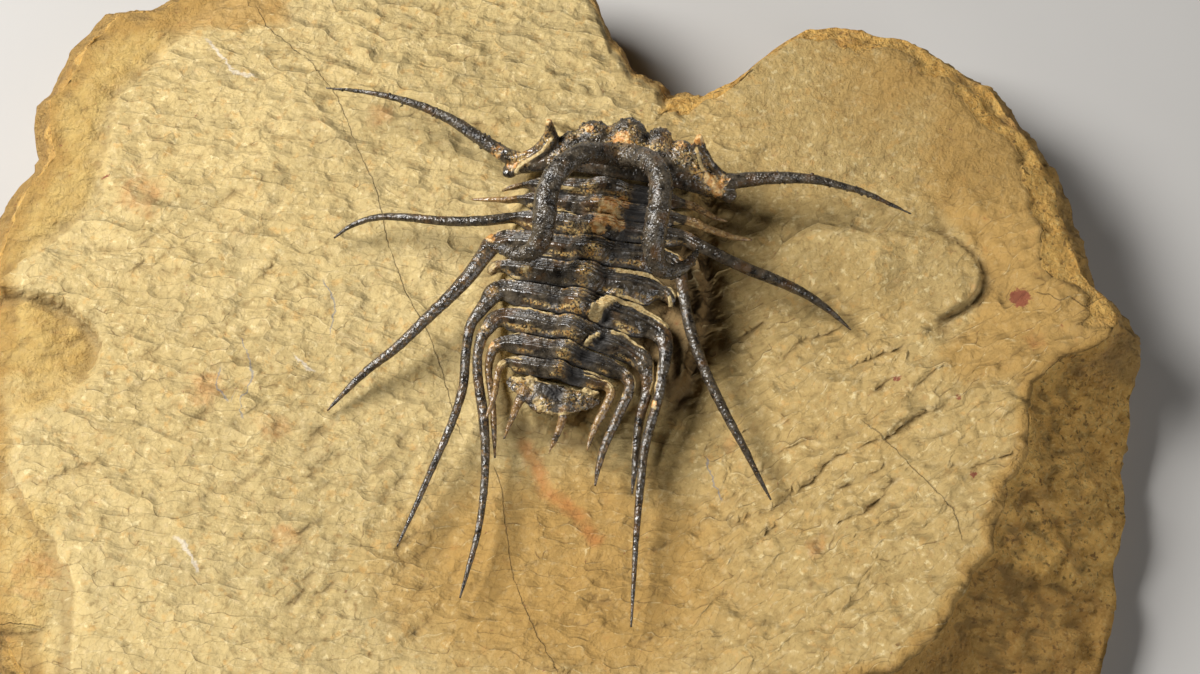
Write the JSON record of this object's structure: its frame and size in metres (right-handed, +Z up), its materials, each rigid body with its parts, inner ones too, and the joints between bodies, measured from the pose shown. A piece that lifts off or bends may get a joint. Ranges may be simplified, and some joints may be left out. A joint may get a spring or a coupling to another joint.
{
  "type": "dicranurus trilobite on its matrix slab",
  "caption": "Black spiny trilobite with curled horns, standing free on a low mound of its loose tan limestone slab; lies on the slab's flat underside.",
  "frame": {"origin": "middle of the slab's bounding box, on the surface that it rests on", "axes": "+Z up out of the slab's worked face, +Y towards the animal's head, +X to the right when it is looked down on with the head away"},
  "size_m": [0.1972, 0.1412, 0.0483],
  "materials": {
    "limestone": "matte tan stone with tool marks, brown on its broken edges",
    "fossil_shell": "black, half gloss, granular, with brown and cream in the furrows"
  },
  "bodies": {
    "root": {"matrix_slab": "limestone", "cephalon": "fossil_shell", "thorax_segment_1": "fossil_shell", "thorax_segment_2": "fossil_shell", "thorax_segment_3": "fossil_shell", "thorax_segment_4": "fossil_shell", "thorax_segment_5": "fossil_shell", "thorax_segment_6": "fossil_shell", "thorax_segment_7": "fossil_shell", "thorax_segment_8": "fossil_shell", "thorax_segment_9": "fossil_shell", "pygidium": "fossil_shell"}
  },
  "joints": []
}
